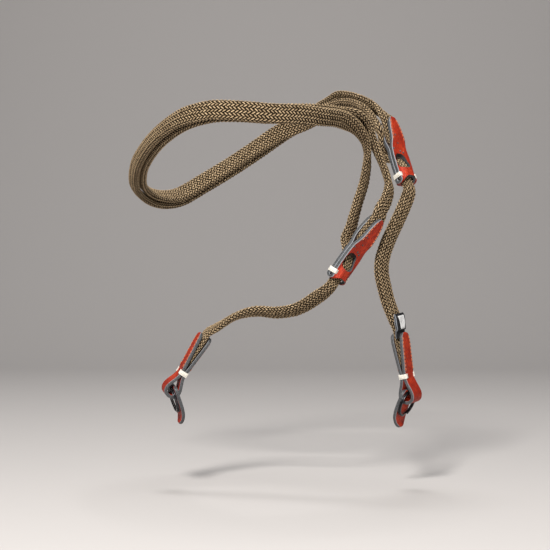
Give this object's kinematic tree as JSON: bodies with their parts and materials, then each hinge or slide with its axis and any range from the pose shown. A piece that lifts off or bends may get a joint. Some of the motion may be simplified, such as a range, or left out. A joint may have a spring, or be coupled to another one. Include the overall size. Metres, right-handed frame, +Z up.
{
  "type": "camera neck strap",
  "caption": "Neck strap for a camera: flat braided ropes run doubled round the neck, held by leather sliders, with leather end tabs, ring guards and split rings.",
  "frame": {"origin": "between the two split rings, where the middle of the camera's two strap lugs would be", "axes": "+Z up, -Y towards the viewer of the picture, +X from the left ring to the right ring"},
  "size_m": [0.1991, 0.1824, 0.2304],
  "materials": {
    "braid": "khaki braid, matt",
    "leather": "red leather with dark grey edges, satin",
    "ring_steel": "blackened steel, semi gloss",
    "thread": "waxed thread, matt",
    "label_black": "woven ribbon, matt",
    "label_white": "woven ribbon, matt"
  },
  "bodies": {
    "root": {"rope_left": "braid", "rope_right": "braid", "end_tab_left": "leather", "end_tab_right": "leather", "slider_left": "leather", "slider_right": "leather", "ring_guard_left": "leather", "ring_guard_right": "leather", "split_ring_left": "ring_steel", "split_ring_right": "ring_steel", "tab_wrap_left_near": "thread", "tab_wrap_left_far": "thread", "tab_wrap_right_near": "thread", "tab_wrap_right_far": "thread", "slider_wrap_left_near": "thread", "slider_wrap_left_far": "thread", "slider_wrap_right_near": "thread", "slider_wrap_right_far": "thread", "label_ribbon": "label_black", "label_patch": "label_white"}
  },
  "joints": []
}
